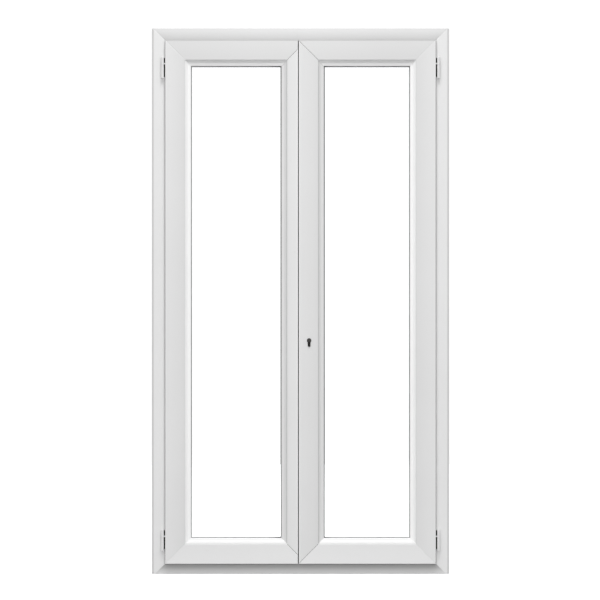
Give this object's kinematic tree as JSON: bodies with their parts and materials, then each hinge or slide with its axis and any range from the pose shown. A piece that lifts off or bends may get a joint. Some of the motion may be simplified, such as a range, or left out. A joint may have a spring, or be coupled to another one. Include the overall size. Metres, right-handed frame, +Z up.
{
  "type": "casement window",
  "caption": "Tall white PVC double casement window with a lapped meeting stile, double glazing, barrel hinges and a key cylinder in the active leaf.",
  "frame": {"origin": "centre of the bounding box's base, under the middle of the frame", "axes": "+Z up, +X to the right seen from the room, +Y out of doors; the leaves open towards -Y"},
  "size_m": [1.2, 0.095, 2.2],
  "materials": {
    "white_pvc": "smooth extruded PVC, satin gloss",
    "white_beads": "smooth extruded PVC, satin gloss",
    "white_caps": "moulded nylon, fine texture",
    "white_hinges": "white powder coat",
    "grey_rubber": "matt EPDM",
    "clear_glass": "clear float glass",
    "spacer_aluminium": "brushed mill finish",
    "packer_plastic": "moulded plastic",
    "galvanised_steel": "galvanised, faint spangle",
    "zinc_hardware": "zinc plated, satin",
    "nickel_cylinder": "dark nickel plated, satin"
  },
  "bodies": {
    "frame": {"frame_head": "white_pvc", "frame_sill": "white_pvc", "frame_left_jamb": "white_pvc", "frame_right_jamb": "white_pvc", "frame_reinforcements": "galvanised_steel", "frame_seal": "grey_rubber", "head_keep": "zinc_hardware", "sill_keep": "zinc_hardware", "drain_caps": "white_caps", "left_hinge_frame_halves": "white_hinges", "right_hinge_frame_halves": "white_hinges", "hinge_pins": "zinc_hardware", "hinge_washers": "white_caps"},
    "left_top_bolt": {"left_top_bolt": "zinc_hardware"},
    "left_bottom_bolt": {"left_bottom_bolt": "zinc_hardware"},
    "right_top_rod": {"right_top_rod": "zinc_hardware"},
    "right_bottom_rod": {"right_bottom_rod": "zinc_hardware"},
    "dead_bolt": {"dead_bolt": "zinc_hardware"},
    "gearbox_hub": {"gearbox_hub": "zinc_hardware"},
    "key_plug": {"cylinder_plug": "nickel_cylinder", "cylinder_cam": "zinc_hardware"},
    "left_leaf": {"left_top_rail": "white_pvc", "left_bottom_rail": "white_pvc", "left_hinge_stile": "white_pvc", "left_meeting_stile": "white_pvc", "left_leaf_reinforcements": "galvanised_steel", "left_rail_beads": "white_beads", "left_hinge_stile_bead": "white_beads", "left_meeting_stile_bead": "white_beads", "left_inner_pane": "clear_glass", "left_outer_pane": "clear_glass", "left_spacer_bar": "spacer_aluminium", "left_bead_gasket": "grey_rubber", "left_outer_gasket": "grey_rubber", "left_glazing_packers": "packer_plastic", "left_hinge_leaf_halves": "white_hinges", "left_leaf_seals": "grey_rubber", "astragal": "white_pvc", "left_bolt_plates": "zinc_hardware", "lock_striker": "zinc_hardware"},
    "right_leaf": {"right_top_rail": "white_pvc", "right_bottom_rail": "white_pvc", "right_hinge_stile": "white_pvc", "right_lock_stile": "white_pvc", "right_leaf_reinforcements": "galvanised_steel", "right_rail_beads": "white_beads", "right_hinge_stile_bead": "white_beads", "right_lock_stile_bead": "white_beads", "right_inner_pane": "clear_glass", "right_outer_pane": "clear_glass", "right_spacer_bar": "spacer_aluminium", "right_bead_gasket": "grey_rubber", "right_outer_gasket": "grey_rubber", "right_glazing_packers": "packer_plastic", "right_hinge_leaf_halves": "white_hinges", "right_leaf_seal": "grey_rubber", "lock_case": "galvanised_steel", "lock_faceplate": "zinc_hardware", "cylinder_body": "nickel_cylinder"}
  },
  "joints": [
    {"name": "right_leaf_hinge", "type": "hinge", "parent": "frame", "child": "right_leaf", "pos_m": [0.5562, -0.0355, 1.1], "axis": [0, 0, 1], "range_deg": [0, 110]},
    {"name": "left_leaf_hinge", "type": "hinge", "parent": "frame", "child": "left_leaf", "pos_m": [-0.5562, -0.0355, 1.1], "axis": [0, 0, -1], "range_deg": [0, 110]},
    {"name": "gearbox_turn", "type": "hinge", "parent": "right_leaf", "child": "gearbox_hub", "pos_m": [0.0346, -0.0105, 1.033], "axis": [0, 1, 0], "range_deg": [0, 90]},
    {"name": "right_top_rod_slide", "type": "slide", "parent": "right_leaf", "child": "right_top_rod", "axis": [0, 0, 1], "range_m": [0, 0.02]},
    {"name": "right_bottom_rod_slide", "type": "slide", "parent": "right_leaf", "child": "right_bottom_rod", "axis": [0, 0, -1], "range_m": [0, 0.02]},
    {"name": "key_turn", "type": "hinge", "parent": "right_leaf", "child": "key_plug", "pos_m": [0.0346, -0.0105, 0.941], "axis": [0, 1, 0], "range_deg": [0, 360]},
    {"name": "dead_bolt_slide", "type": "slide", "parent": "right_leaf", "child": "dead_bolt", "axis": [-1, 0, 0], "range_m": [0, 0.018]},
    {"name": "left_top_bolt_slide", "type": "slide", "parent": "left_leaf", "child": "left_top_bolt", "axis": [0, 0, 1], "range_m": [0, 0.02]},
    {"name": "left_bottom_bolt_slide", "type": "slide", "parent": "left_leaf", "child": "left_bottom_bolt", "axis": [0, 0, -1], "range_m": [0, 0.02]}
  ],
  "couplings": [
    {"joint": "left_leaf_hinge", "follows": "right_leaf_hinge", "ratio": 0.9},
    {"joint": "gearbox_turn", "follows": "right_top_rod_slide", "rad_per_m": 78.539},
    {"joint": "right_bottom_rod_slide", "follows": "right_top_rod_slide", "ratio": 1},
    {"joint": "key_turn", "follows": "dead_bolt_slide", "rad_per_m": 349.06}
  ]
}
